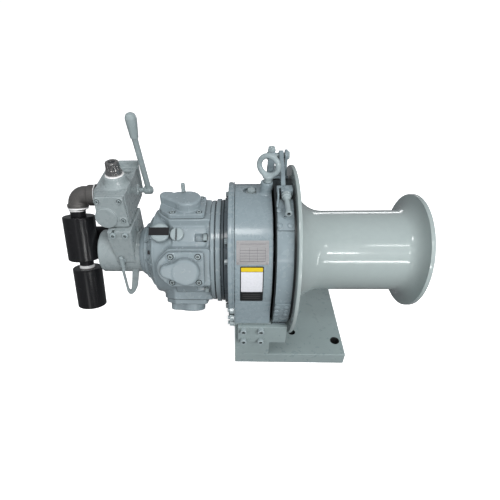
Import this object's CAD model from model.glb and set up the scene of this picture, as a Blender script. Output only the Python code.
from math import sin, cos, tan, radians, pi, sqrt, atan2, acos

import bpy
import bmesh
import numpy as np
from mathutils import Matrix, Vector


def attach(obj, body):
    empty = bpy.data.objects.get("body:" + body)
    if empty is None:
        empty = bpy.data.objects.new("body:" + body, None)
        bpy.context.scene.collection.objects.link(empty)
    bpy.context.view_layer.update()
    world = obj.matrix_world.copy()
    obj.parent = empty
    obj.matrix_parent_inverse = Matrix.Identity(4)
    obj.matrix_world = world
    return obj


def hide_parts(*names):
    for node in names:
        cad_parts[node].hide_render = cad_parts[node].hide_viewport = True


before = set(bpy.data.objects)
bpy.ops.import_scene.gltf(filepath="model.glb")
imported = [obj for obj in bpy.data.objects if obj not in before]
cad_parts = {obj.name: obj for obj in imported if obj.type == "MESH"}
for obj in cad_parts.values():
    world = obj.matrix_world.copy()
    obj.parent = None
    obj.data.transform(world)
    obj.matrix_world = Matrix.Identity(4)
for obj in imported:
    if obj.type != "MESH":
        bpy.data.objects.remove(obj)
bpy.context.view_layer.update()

# All shapes are laid out in millimetres about the drum axis: station s along
# the axis, y to the rear, z up from the axis.  ROW turns that into the row
# frame in metres.
MID, AXH = 198.5, 280.0


def row(a):
    a = np.asarray(a, float).reshape(-1, 3)
    return (a + np.array([-MID, 0.0, AXH])) / 1000.0


# ------------------------------------------------------------------ materials
def nt_new(name):
    m = bpy.data.materials.new(name)
    m.use_nodes = True
    n = m.node_tree.nodes
    n.clear()
    return m, m.node_tree, n


def N(t, kind, **kw):
    n = t.nodes.new(kind)
    for k, v in kw.items():
        if k in n.bl_rna.properties and k not in n.inputs:
            setattr(n, k, v)
        else:
            n.inputs[k].default_value = v
    return n


def L(t, a, ao, b, bi):
    t.links.new(a.outputs[ao], b.inputs[bi])


def ramp(t, src, out, stops):
    r = t.nodes.new("ShaderNodeValToRGB")
    e = r.color_ramp.elements
    while len(e) > 1:
        e.remove(e[-1])
    e[0].position, e[0].color = stops[0][0], (*stops[0][1], 1.0)
    for p, c in stops[1:]:
        q = e.new(p)
        q.color = (*c, 1.0)
    L(t, src, out, r, "Fac")
    return r


def g3(v):
    return (v, v, v)


def enamel(name, col, rough=0.22, coat=0.5, cast=0.0, peel=0.02, dirt=0.5, dirt_col=(0.05, 0.06, 0.06),
           spec=0.5, var=0.05, blot=None):
    """Sprayed machine enamel: slight colour drift, orange peel, grime held in
    corners, and on castings the soft unevenness of the sand mould."""
    m, t, n = nt_new(name)
    out = N(t, "ShaderNodeOutputMaterial")
    p = N(t, "ShaderNodeBsdfPrincipled")
    p.inputs["Coat Weight"].default_value = coat
    p.inputs["Coat Roughness"].default_value = 0.09
    p.inputs["Specular IOR Level"].default_value = spec
    L(t, p, "BSDF", out, "Surface")
    tc = N(t, "ShaderNodeTexCoord")
    n1 = N(t, "ShaderNodeTexNoise", Scale=9.0, Detail=4.0, Roughness=0.6)
    n2 = N(t, "ShaderNodeTexNoise", Scale=60.0, Detail=3.0, Roughness=0.55)
    L(t, tc, "Object", n1, "Vector")
    L(t, tc, "Object", n2, "Vector")
    c0 = tuple(c * (1 - var) for c in col)
    c1 = tuple(min(1, c * (1 + var)) for c in col)
    r1 = ramp(t, n1, "Fac", [(0.3, c0), (0.7, c1)])
    mix = N(t, "ShaderNodeMix", data_type="RGBA", blend_type="MULTIPLY")
    mix.inputs[0].default_value = 1.0
    r2 = ramp(t, n2, "Fac", [(0.3, g3(0.965)), (0.7, g3(1.0))])
    t.links.new(r1.outputs["Color"], mix.inputs[6])
    t.links.new(r2.outputs["Color"], mix.inputs[7])
    last = mix.outputs[2]
    if dirt > 0:
        ao = N(t, "ShaderNodeAmbientOcclusion", samples=12, Distance=0.014)
        nd = N(t, "ShaderNodeTexNoise", Scale=90.0, Detail=3.0, Roughness=0.55)
        L(t, tc, "Object", nd, "Vector")
        mm = N(t, "ShaderNodeMath", operation="MULTIPLY_ADD")
        mm.inputs[1].default_value = 0.20
        mm.inputs[2].default_value = -0.10
        L(t, nd, "Fac", mm, 0)
        ad = N(t, "ShaderNodeMath", operation="ADD")
        L(t, ao, "AO", ad, 0)
        L(t, mm, "Value", ad, 1)
        ra = ramp(t, ad, "Value", [(0.12, g3(dirt)), (0.42, g3(dirt * 0.45)), (0.70, g3(0.0))])
        md = N(t, "ShaderNodeMix", data_type="RGBA", blend_type="MIX")
        L(t, ra, "Color", md, 0)
        t.links.new(last, md.inputs[6])
        md.inputs[7].default_value = (*dirt_col, 1.0)
        last = md.outputs[2]
    t.links.new(last, p.inputs["Base Color"])
    rr = ramp(t, n2, "Fac", [(0.3, g3(rough * 0.85)), (0.75, g3(rough * 1.2))])
    L(t, rr, "Color", p, "Roughness")
    b1 = N(t, "ShaderNodeBump", Strength=peel * 6, Distance=0.00012)
    n3 = N(t, "ShaderNodeTexNoise", Scale=340.0, Detail=2.0, Roughness=0.5)
    L(t, tc, "Object", n3, "Vector")
    L(t, n3, "Fac", b1, "Height")
    if cast > 0:
        b2 = N(t, "ShaderNodeBump", Strength=cast, Distance=0.0016)
        n4 = N(t, "ShaderNodeTexNoise", Scale=80.0, Detail=3.0, Roughness=0.55)
        L(t, tc, "Object", n4, "Vector")
        L(t, n4, "Fac", b2, "Height")
        L(t, b2, "Normal", b1, "Normal")
    L(t, b1, "Normal", p, "Normal")
    return m


def metal(name, col, rough=0.3, streak=None, bump=0.1, metallic=1.0, dirt=0.35, scale=120.0, var=0.12,
          dirt_col=(0.03, 0.028, 0.025)):
    m, t, n = nt_new(name)
    out = N(t, "ShaderNodeOutputMaterial")
    p = N(t, "ShaderNodeBsdfPrincipled")
    p.inputs["Metallic"].default_value = metallic
    L(t, p, "BSDF", out, "Surface")
    tc = N(t, "ShaderNodeTexCoord")
    mp = N(t, "ShaderNodeMapping")
    mp.inputs["Scale"].default_value = streak or (1, 1, 1)
    L(t, tc, "Object", mp, "Vector")
    n1 = N(t, "ShaderNodeTexNoise", Scale=scale, Detail=5.0, Roughness=0.6)
    L(t, mp, "Vector", n1, "Vector")
    r1 = ramp(t, n1, "Fac", [(0.3, tuple(c * (1 - var) for c in col)), (0.7, tuple(min(1, c * (1 + var)) for c in col))])
    last = r1.outputs["Color"]
    if dirt > 0:
        ao = N(t, "ShaderNodeAmbientOcclusion", samples=6, Distance=0.010)
        ra = ramp(t, ao, "AO", [(0.2, g3(dirt)), (0.8, g3(0.0))])
        md = N(t, "ShaderNodeMix", data_type="RGBA", blend_type="MIX")
        L(t, ra, "Color", md, 0)
        t.links.new(last, md.inputs[6])
        md.inputs[7].default_value = (*dirt_col, 1.0)
        last = md.outputs[2]
    t.links.new(last, p.inputs["Base Color"])
    rr = ramp(t, n1, "Fac", [(0.25, g3(rough * 0.75)), (0.75, g3(min(1, rough * 1.3)))])
    L(t, rr, "Color", p, "Roughness")
    b = N(t, "ShaderNodeBump", Strength=bump, Distance=0.0004)
    L(t, n1, "Fac", b, "Height")
    L(t, b, "Normal", p, "Normal")
    return m


def film(name, col, rough=0.35, coat=0.3):
    m, t, n = nt_new(name)
    out = N(t, "ShaderNodeOutputMaterial")
    p = N(t, "ShaderNodeBsdfPrincipled")
    p.inputs["Coat Weight"].default_value = coat
    p.inputs["Coat Roughness"].default_value = 0.12
    L(t, p, "BSDF", out, "Surface")
    tc = N(t, "ShaderNodeTexCoord")
    n1 = N(t, "ShaderNodeTexNoise", Scale=220.0, Detail=3.0, Roughness=0.6)
    L(t, tc, "Object", n1, "Vector")
    r1 = ramp(t, n1, "Fac", [(0.3, tuple(c * 0.93 for c in col)), (0.7, tuple(min(1, c * 1.04) for c in col))])
    L(t, r1, "Color", p, "Base Color")
    rr = ramp(t, n1, "Fac", [(0.3, g3(rough * 0.85)), (0.7, g3(rough * 1.15))])
    L(t, rr, "Color", p, "Roughness")
    b = N(t, "ShaderNodeBump", Strength=0.06, Distance=0.0003)
    L(t, n1, "Fac", b, "Height")
    L(t, b, "Normal", p, "Normal")
    return m


GREY = (0.300, 0.362, 0.372)
M_HOUSE = enamel("enamel_housing", (0.212, 0.264, 0.288), rough=0.27, coat=0.45, peel=0.008, cast=0.008, dirt=0.8, var=0.03)
M_CAST = enamel("enamel_casting", (0.230, 0.280, 0.302), rough=0.25, coat=0.6, cast=0.13, dirt=0.85, var=0.04)
M_VALVE = enamel("enamel_valve", (0.262, 0.304, 0.312), rough=0.28, coat=0.5, cast=0.22, dirt=0.8, var=0.04)
M_PLATE = enamel("enamel_plate", (0.245, 0.300, 0.302), rough=0.30, coat=0.35, peel=0.005, cast=0.0, dirt=0.7, var=0.04)
M_DRUM = enamel("enamel_drum", (0.318, 0.370, 0.366), rough=0.20, coat=0.8, cast=0.0, peel=0.03, dirt=0.4, var=0.02)
M_BAND = enamel("enamel_band", (0.205, 0.255, 0.278), rough=0.26, coat=0.5, cast=0.06, dirt=0.85, var=0.10)
M_DARKPAINT = enamel("enamel_shadowed", (0.085, 0.108, 0.122), rough=0.30, coat=0.4, cast=0.05, dirt=0.8)
M_SCREW = enamel("enamel_screw", (0.285, 0.340, 0.352), rough=0.22, coat=0.6, cast=0.0, dirt=0.9)
M_LEVER = enamel("enamel_lever", (0.262, 0.312, 0.320), rough=0.26, coat=0.5, cast=0.05, dirt=0.6)
M_BLACK = metal("black_gloss", (0.007, 0.007, 0.008), rough=0.22, metallic=0.0, bump=0.05, dirt=0.2, var=0.25)
M_IRON = metal("malleable_iron", (0.235, 0.225, 0.215), rough=0.36, metallic=0.85, bump=0.35, scale=420.0, dirt=0.8)
M_DARK = metal("blackened_steel", (0.020, 0.020, 0.022), rough=0.38, metallic=0.6, bump=0.2, dirt=0.3)
M_STEEL = metal("turned_steel", (0.075, 0.085, 0.090), rough=0.42, metallic=0.7, bump=0.1, dirt=0.8)
M_PLATED = metal("plated_steel", (0.50, 0.49, 0.48), rough=0.20, metallic=1.0, bump=0.06, dirt=0.97, scale=200.0)
M_TAPE = film("thread_tape", (0.80, 0.80, 0.80), rough=0.5, coat=0.0)
M_NAME = metal("brushed_plate", (0.36, 0.355, 0.36), rough=0.36, metallic=0.5, streak=(1.0, 22.0, 22.0),
               bump=0.12, dirt=0.1, scale=60.0, var=0.16)
M_NAMELINE = metal("etched_line", (0.075, 0.075, 0.08), rough=0.45, metallic=0.5, bump=0.1, dirt=0.1)
M_WHITE = film("film_white", (0.60, 0.61, 0.645))
M_YELLOW = film("film_yellow", (0.60, 0.44, 0.010))
M_BLK = film("film_black", (0.007, 0.007, 0.008), rough=0.35, coat=0.15)
M_LINING = metal("brake_lining", (0.045, 0.042, 0.038), rough=0.85, metallic=0.0, bump=0.5, dirt=0.4, scale=300.0)
M_HOLE = metal("dark_recess", (0.012, 0.012, 0.012), rough=0.7, metallic=0.0, bump=0.2, dirt=0.0)


# ------------------------------------------------------------------ mesh kit
class Soup:
    """Vertices and faces with a material index, in millimetres."""

    def __init__(self):
        self.v, self.f, self.m, self.n = [], [], [], 0

    def add(self, vf, mat=0):
        V, F = vf
        V = np.asarray(V, float)
        self.v.append(V)
        for f in F:
            self.f.append([i + self.n for i in f])
            self.m.append(mat)
        self.n += len(V)
        return self


def build(name, parts, mats, sharp=35.0, body="root", reps=(), weld=True, wn=True):
    """One piece from a list of (verts, faces[, material index])."""
    s = Soup()
    for p in parts:
        s.add((p[0], p[1]), p[2] if len(p) > 2 else 0)
    me = bpy.data.meshes.new(name)
    me.from_pydata(row(np.concatenate(s.v)).tolist(), [], s.f)
    me.polygons.foreach_set("material_index", np.array(s.m, np.int32))
    bm = bmesh.new()
    bm.from_mesh(me)
    if weld:
        bmesh.ops.remove_doubles(bm, verts=bm.verts, dist=1e-6)
    bmesh.ops.recalc_face_normals(bm, faces=bm.faces)
    bm.to_mesh(me)
    bm.free()
    for m in mats:
        me.materials.append(m)
    me.polygons.foreach_set("use_smooth", np.ones(len(me.polygons), bool))
    me.set_sharp_from_angle(angle=radians(sharp))
    o = bpy.data.objects.new(name, me)
    bpy.context.scene.collection.objects.link(o)
    if wn:
        weight_normals(o)
    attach(o, body)
    if reps:
        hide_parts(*reps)
    return o


def weight_normals(o):
    md = o.modifiers.new("wn", "WEIGHTED_NORMAL")
    md.keep_sharp = True
    md.weight = 60
    bake(o)


def bake(o):
    """Apply all modifiers."""
    dg = bpy.context.evaluated_depsgraph_get()
    dg.update()
    me = bpy.data.meshes.new_from_object(o.evaluated_get(dg), preserve_all_data_layers=True, depsgraph=dg)
    old = o.data
    o.modifiers.clear()
    o.data = me
    me.name = o.name
    if old.users == 0:
        bpy.data.meshes.remove(old)


def rnd(poly, r, n=4, only=None):
    """Round the corners of a 2-D polygon; r is one radius or a list."""
    P = [np.array(p, float) for p in poly]
    k = len(P)
    rs = [r] * k if np.isscalar(r) else list(r)
    out = []
    for i in range(k):
        a, b, c = P[i - 1], P[i], P[(i + 1) % k]
        rr = rs[i]
        u, v = a - b, c - b
        lu, lv = np.linalg.norm(u), np.linalg.norm(v)
        if rr <= 0 or lu < 1e-9 or lv < 1e-9:
            out.append(b)
            continue
        u, v = u / lu, v / lv
        cosw = np.clip(u @ v, -1, 1)
        half = acos(cosw) / 2
        if abs(half - pi / 2) < 1e-3:
            out.append(b)
            continue
        d = min(rr / tan(half), 0.49 * lu, 0.49 * lv)
        rr = d * tan(half)
        p0, p1 = b + u * d, b + v * d
        cen = b + (u + v) / np.linalg.norm(u + v) * (rr / sin(half))
        a0, a1 = p0 - cen, p1 - cen
        t0, t1 = atan2(a0[1], a0[0]), atan2(a1[1], a1[0])
        dt = (t1 - t0 + pi) % (2 * pi) - pi
        for j in range(n + 1):
            t = t0 + dt * j / n
            out.append(cen + rr * np.array([cos(t), sin(t)]))
    return np.array(out)


def inset(poly, d):
    """Move each vertex of a closed polygon inwards by d."""
    P = np.asarray(poly, float)
    area = 0.5 * np.sum(P[:, 0] * np.roll(P[:, 1], -1) - np.roll(P[:, 0], -1) * P[:, 1])
    sg = 1.0 if area > 0 else -1.0
    e = np.roll(P, -1, 0) - P
    ln = np.linalg.norm(e, axis=1)
    ln[ln < 1e-9] = 1.0
    nrm = np.stack([e[:, 1], -e[:, 0]], 1) / ln[:, None] * sg      # outward
    n0, n1 = np.roll(nrm, 1, 0), nrm
    den = 1 + np.sum(n0 * n1, 1)
    den = np.maximum(den, 0.3)
    return P - d * (n0 + n1) / den[:, None]


AX = {"x": (1, 2, 0), "y": (0, 2, 1), "z": (0, 1, 2)}


def prism(poly, axis, a, b, bev=0.8, nb=3, open_ends=False, bev2=None):
    """Extrude a 2-D polygon from a to b along an axis, edges rounded by bev."""
    i0, i1, i2 = AX[axis]
    rings = []
    b1 = bev if bev2 is None else bev2
    if bev > 0:
        for j in range(nb + 1):
            t = 0.5 * pi * j / nb
            rings.append((a + bev * (1 - cos(t)), bev * (1 - sin(t))))
    else:
        rings.append((a, 0.0))
    if b1 > 0:
        for j in range(nb, -1, -1):
            t = 0.5 * pi * j / nb
            rings.append((b - b1 * (1 - cos(t)), b1 * (1 - sin(t))))
    else:
        rings.append((b, 0.0))
    V, F = [], []
    k = len(poly)
    for pos, ins in rings:
        q = inset(poly, ins) if ins > 1e-9 else np.asarray(poly, float)
        w = np.zeros((k, 3))
        w[:, i0], w[:, i1], w[:, i2] = q[:, 0], q[:, 1], pos
        V.append(w)
    for j in range(len(rings) - 1):
        for i in range(k):
            i2_ = (i + 1) % k
            F.append([j * k + i, j * k + i2_, (j + 1) * k + i2_, (j + 1) * k + i])
    if not open_ends:
        F.append(list(range(k))[::-1])
        F.append([(len(rings) - 1) * k + i for i in range(k)])
    return np.concatenate(V), F


def rbox(x0, x1, y0, y1, z0, z1, bev=0.8, nb=3, axis="z"):
    lo, hi = (x0, y0, z0), (x1, y1, z1)
    i0, i1, i2 = AX[axis]
    poly = rnd([(lo[i0], lo[i1]), (hi[i0], lo[i1]), (hi[i0], hi[i1]), (lo[i0], hi[i1])], bev, nb)
    return prism(poly, axis, lo[i2], hi[i2], bev, nb)


def rprof(pts, n=5):
    """Profile polyline; a point may carry a fillet radius as third value."""
    P = [np.array(p[:2], float) for p in pts]
    out = []
    for i, p in enumerate(pts):
        r = p[2] if len(p) > 2 else 0.0
        if r <= 0 or i == 0 or i == len(pts) - 1:
            out.append(P[i])
            continue
        q = rnd([P[i - 1], P[i], P[i + 1]], [0, r, 0], n)
        out.extend(list(q[1:-1]))
    return out


def frame_of(d):
    d = np.asarray(d, float)
    d = d / np.linalg.norm(d)
    h = np.array([0, 0, 1.0]) if abs(d[2]) < 0.9 else np.array([1.0, 0, 0])
    u = np.cross(h, d)
    u /= np.linalg.norm(u)
    return u, np.cross(d, u), d


def lathe(prof, o=(0, 0, 0), d=(1, 0, 0), n=96, closed=False, a0=0.0, a1=360.0, ref=None):
    """Turn a profile of (t, r) about the line through o along d."""
    u, v, w = frame_of(d)
    if ref is not None:
        u = np.asarray(ref, float)
        u = u - (u @ w) * w
        u /= np.linalg.norm(u)
        v = np.cross(w, u)
    full = abs(a1 - a0 - 360.0) < 1e-6
    cols = n if full else n + 1
    ang = np.radians(a0 + (a1 - a0) * np.arange(cols) / n)
    V, idx = [], []
    cnt = 0
    for t, r in prof:
        if r < 1e-6 and full:
            V.append((np.asarray(o, float) + w * t)[None])
            idx.append([cnt] * cols)
            cnt += 1
        else:
            ring = np.asarray(o, float) + w * t + r * (np.cos(ang)[:, None] * u + np.sin(ang)[:, None] * v)
            V.append(ring)
            idx.append(list(range(cnt, cnt + cols)))
            cnt += cols
    F = []
    k = len(prof)
    for j in range(k if closed else k - 1):
        A, B = idx[j], idx[(j + 1) % k]
        for i in range(cols if full else cols - 1):
            i2 = (i + 1) % cols
            f = [A[i], A[i2], B[i2], B[i]]
            g = []
            for q in f:
                if q not in g:
                    g.append(q)
            if len(g) > 2:
                F.append(g)
    if not full and closed:
        F.append([idx[j][0] for j in range(k)][::-1])
        F.append([idx[j][-1] for j in range(k)])
    return np.concatenate(V), F


def rod(r, a, b, bev=0.4, n=32, nb=3):
    a, b = np.array(a, float), np.array(b, float)
    ln = np.linalg.norm(b - a)
    bev = min(bev, r * 0.95, ln * 0.45)
    pr = rprof([(0, 0), (0, r, bev), (ln, r, bev), (ln, 0)], nb)
    return lathe(pr, a, b - a, n)


def tube(path, r, n=16, caps=True):
    P = np.asarray(path, float)
    T = np.gradient(P, axis=0)
    T /= np.linalg.norm(T, axis=1)[:, None]
    u, v, _ = frame_of(T[0])
    V = []
    rs = [r] * len(P) if np.isscalar(r) else r
    for i in range(len(P)):
        u = u - (u @ T[i]) * T[i]
        u /= np.linalg.norm(u)
        v = np.cross(T[i], u)
        a = 2 * pi * np.arange(n) / n
        V.append(P[i] + rs[i] * (np.cos(a)[:, None] * u + np.sin(a)[:, None] * v))
    F = []
    for j in range(len(P) - 1):
        for i in range(n):
            F.append([j * n + i, j * n + (i + 1) % n, (j + 1) * n + (i + 1) % n, (j + 1) * n + i])
    if caps:
        F.append(list(range(n))[::-1])
        F.append([(len(P) - 1) * n + i for i in range(n)])
    return np.concatenate(V), F


def hexa(af, o, d, h, ch=None, ref=(0, 0, 1), wash=True, r_w=None):
    """Hexagon head or nut with a chamfered top and a washer face."""
    u, v, w = frame_of(d)
    ref = np.asarray(ref, float)
    if abs(ref @ w) < 0.95:
        u = ref - (ref @ w) * w
        u /= np.linalg.norm(u)
        v = np.cross(w, u)
    r = af / sqrt(3.0)
    ch = af * 0.075 if ch is None else ch
    o = np.asarray(o, float)
    k = 24
    rings = []

    def ring(t, cap):
        pts = []
        for i in range(k):
            a = 2 * pi * i / k
            m = (a + pi / 6) % (pi / 3) - pi / 6
            rr = min(af / 2 / cos(m), cap)
            pts.append(o + w * t + rr * (cos(a + pi / 6) * u + sin(a + pi / 6) * v))
        return pts

    rings.append(ring(0.0, 1e9))
    rings.append(ring(h - ch * 0.9, 1e9))
    rings.append(ring(h - ch * 0.35, af / 2 * 1.06))
    rings.append(ring(h, af / 2 * 0.93))
    V = np.concatenate([np.array(q) for q in rings])
    F = []
    for j in range(len(rings) - 1):
        for i in range(k):
            F.append([j * k + i, j * k + (i + 1) % k, (j + 1) * k + (i + 1) % k, (j + 1) * k + i])
    F.append(list(range(k))[::-1])
    F.append([(len(rings) - 1) * k + i for i in range(k)])
    return V, F


def cap_screw(o, d, D=13.0, h=8.0, hexaf=6.0, wash=0.0, n=32):
    """Socket-head cap screw: rounded rim, knurl-free side, deep hex socket."""
    u, v, w = frame_of(d)
    o = np.asarray(o, float)
    R = D / 2
    prof = rprof([(0, R), (h, R, D * 0.09), (h, hexaf / 2 * 1.22, D * 0.03), (h - 0.4, hexaf / 2 * 1.12)], 3)
    a = lathe(prof, o, d, n)
    k = 24
    pts = []
    for t in (h - 0.4, h - h * 0.62):
        for i in range(k):
            an = 2 * pi * i / k
            m = (an + pi / 6) % (pi / 3) - pi / 6
            rr = hexaf / 2 / cos(m)
            pts.append(o + w * t + rr * (cos(an) * u + sin(an) * v))
    F = [[i, k + i, k + (i + 1) % k, (i + 1) % k] for i in range(k)] + [[k + i for i in range(k)]]
    parts = [a, (np.array(pts), F)]
    if wash:
        parts.append(lathe(rprof([(0, 0), (0, R + 2.2, 0.2), (wash, R + 2.2, 0.4), (wash, 0)], 2), o - w * 0.0, d, n))
    return parts


def dome(o, d, r, h, n=24):
    """Rivet or button head."""
    pr = [(0.0, r)]
    for i in range(1, 7):
        t = 0.5 * pi * i / 6
        pr.append((h * sin(t), r * cos(t)))
    pr[-1] = (h, 0.0)
    return lathe([(-0.3, r)] + pr, o, d, n)


def patch(s0, s1, a0, a1, r0, r1, bev=0.5, n=48, corner=1.0):
    """Curved plate over part of a circle about the drum axis, angles up from
    the front; outer edges rounded."""
    nb = 3
    xs, offs = [], []
    V, F = [], []

    def loop(ins, r):
        """closed outline in (s, angle) at radius r, shrunk by ins mm"""
        da = ins / r1 * 180 / pi
        S0, S1, A0, A1 = s0 + ins, s1 - ins, a0 + da, a1 - da
        c = max(corner - ins, 0.05)
        ca = c / r1 * 180 / pi
        out = []
        for (cx, ca_, q0) in ((S1 - c, A0 + ca, -90), (S1 - c, A1 - ca, 0), (S0 + c, A1 - ca, 90), (S0 + c, A0 + ca, 180)):
            for j in range(5):
                t = radians(q0 + 90 * j / 4)
                out.append((cx + c * cos(t), ca_ + ca * sin(t)))
            if q0 == -90:
                for j in range(1, n):
                    out.append((S1, A0 + ca + (A1 - A0 - 2 * ca) * j / n))
            if q0 == 90:
                for j in range(1, n):
                    out.append((S0, A1 - ca - (A1 - A0 - 2 * ca) * j / n))
        return [(x, -r * cos(radians(a)), r * sin(radians(a))) for x, a in out]

    rings = [loop(0, r0)]
    for j in range(nb + 1):
        t = 0.5 * pi * j / nb
        rings.append(loop(bev * (1 - cos(t)), r1 - bev * (1 - sin(t))))
    k = len(rings[0])
    V = np.concatenate([np.array(q) for q in rings])
    for j in range(len(rings) - 1):
        for i in range(k):
            F.append([j * k + i, j * k + (i + 1) % k, (j + 1) * k + (i + 1) % k, (j + 1) * k + i])
    # cap: strips across between the two long sides
    top = (len(rings) - 1) * k
    right = list(range(0, 5)) + list(range(5, 4 + n)) + list(range(4 + n, 9 + n))
    left0 = 9 + n
    left = list(range(left0, left0 + 5)) + list(range(left0 + 5, left0 + 4 + n)) + list(range(left0 + 4 + n, left0 + 9 + n))
    left = left[::-1]
    for i in range(len(right) - 1):
        F.append([top + right[i], top + right[i + 1], top + left[i + 1], top + left[i]])
    for i in range(len(right) - 1):
        F.append([left[i], left[i + 1], right[i + 1], right[i]])
    return V, F


def spin(vf, deg):
    """Turn about the drum axis; deg from +Z towards -Y (the front)."""
    V, F = vf[0], vf[1]
    a = radians(deg)
    V = np.asarray(V, float)
    y, z = V[:, 1], V[:, 2]
    W = np.stack([V[:, 0], y * cos(a) - z * sin(a), y * sin(a) + z * cos(a)], 1)
    return (W, F) + tuple(vf[2:])


def mirror_y(vf):
    V = np.asarray(vf[0], float) * np.array([1, -1, 1])
    return (V, [f[::-1] for f in vf[1]]) + tuple(vf[2:])


def mat_i(parts, i):
    return [(p[0], p[1], i) for p in (parts if isinstance(parts, list) else [parts])]


# ------------------------------------------------------ distance-field castings
class Field:
    """Signed distance sampled on a grid; blends give the fillets of a casting."""

    def __init__(self, lo, hi, h):
        self.h = h
        self.lo = np.array(lo, float)
        n = np.ceil((np.array(hi, float) - self.lo) / h).astype(int) + 1
        self.x = (self.lo[0] + h * np.arange(n[0])).astype(np.float32)[:, None, None]
        self.y = (self.lo[1] + h * np.arange(n[1])).astype(np.float32)[None, :, None]
        self.z = (self.lo[2] + h * np.arange(n[2])).astype(np.float32)[None, None, :]
        self.d = np.full(n, 1e3, np.float32)

    def local(self, rot=None):
        """Coordinates turned about the drum axis so that local +z points at
        angle rot (up from the front)."""
        if rot is None:
            return self.x, self.y, self.z
        a = radians(90.0 - rot)
        y = self.y * cos(a) + self.z * sin(a)
        z = -self.y * sin(a) + self.z * cos(a)
        return self.x, y, z

    def add(self, d, k=0.0):
        self.d = smin(self.d, d, k)

    def cut(self, d, k=0.0):
        self.d = -smin(-self.d, d, k)


def smin(a, b, k):
    if k <= 0:
        return np.minimum(a, b)
    h = np.maximum(k - np.abs(a - b), 0) / k
    return np.minimum(a, b) - h * h * k * 0.25


def smax(a, b, k):
    return -smin(-a, -b, k)


def f_box(P, lo, hi, r=0.0):
    c = [(a + b) / 2 for a, b in zip(lo, hi)]
    q = [np.abs(p - cc) - (b - a) / 2 + r for p, cc, a, b in zip(P, c, lo, hi)]
    out = np.sqrt(sum(np.maximum(t, 0) ** 2 for t in q))
    return out + np.minimum(np.maximum(np.maximum(q[0], q[1]), q[2]), 0) - r


def f_cyl(P, axis, c, rad, a, b, r=0.0):
    i0, i1, i2 = AX[axis]
    rr = np.sqrt((P[i0] - c[0]) ** 2 + (P[i1] - c[1]) ** 2)
    q0 = rr - rad + r
    q1 = np.abs(P[i2] - (a + b) / 2) - (b - a) / 2 + r
    return np.sqrt(np.maximum(q0, 0) ** 2 + np.maximum(q1, 0) ** 2) + np.minimum(np.maximum(q0, q1), 0) - r


def f_rod(P, p0, p1, rad, r=0.0, rad2=None):
    p0, p1 = np.array(p0, float), np.array(p1, float)
    d = p1 - p0
    ln = np.linalg.norm(d)
    d = d / ln
    X = [P[i] - p0[i] for i in range(3)]
    t = X[0] * d[0] + X[1] * d[1] + X[2] * d[2]
    rr = np.sqrt(np.maximum(X[0] ** 2 + X[1] ** 2 + X[2] ** 2 - t * t, 0))
    ra = rad if rad2 is None else rad + (rad2 - rad) * np.clip(t / ln, 0, 1)
    q0 = rr - ra + r
    q1 = np.abs(t - ln / 2) - ln / 2 + r
    return np.sqrt(np.maximum(q0, 0) ** 2 + np.maximum(q1, 0) ** 2) + np.minimum(np.maximum(q0, q1), 0) - r


def f_sph(P, c, rad):
    return np.sqrt(sum((P[i] - c[i]) ** 2 for i in range(3))) - rad


def f_torus(P, c, u, R, r):
    """torus whose axis is u"""
    u = np.array(u, float) / np.linalg.norm(u)
    X = [P[i] - c[i] for i in range(3)]
    t = X[0] * u[0] + X[1] * u[1] + X[2] * u[2]
    rr = np.sqrt(np.maximum(X[0] ** 2 + X[1] ** 2 + X[2] ** 2 - t * t, 0))
    return np.sqrt((rr - R) ** 2 + t * t) - r


def f_poly(P, axis, poly, a, b, r=0.0):
    """Extruded polygon."""
    i0, i1, i2 = AX[axis]
    x, y = P[i0], P[i1]
    x, y = np.broadcast_arrays(x, y)
    Q = np.asarray(poly, float)
    d = np.full(x.shape, 1e9, np.float32)
    ins = np.zeros(x.shape, bool)
    for i in range(len(Q)):
        p, q = Q[i], Q[(i + 1) % len(Q)]
        e = q - p
        wx, wy = x - p[0], y - p[1]
        t = np.clip((wx * e[0] + wy * e[1]) / (e @ e), 0, 1)
        d = np.minimum(d, (wx - e[0] * t) ** 2 + (wy - e[1] * t) ** 2)
        c = (y >= p[1]) != (y >= q[1])
        if abs(q[1] - p[1]) > 1e-9:
            ins ^= c & (x < (q[0] - p[0]) * (y - p[1]) / (q[1] - p[1]) + p[0])
    d = np.sqrt(d)
    d = np.where(ins, -d, d)
    q0 = d + r
    q1 = np.abs(P[i2] - (a + b) / 2) - (b - a) / 2 + r
    return np.sqrt(np.maximum(q0, 0) ** 2 + np.maximum(q1, 0) ** 2) + np.minimum(np.maximum(q0, q1), 0) - r


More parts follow.
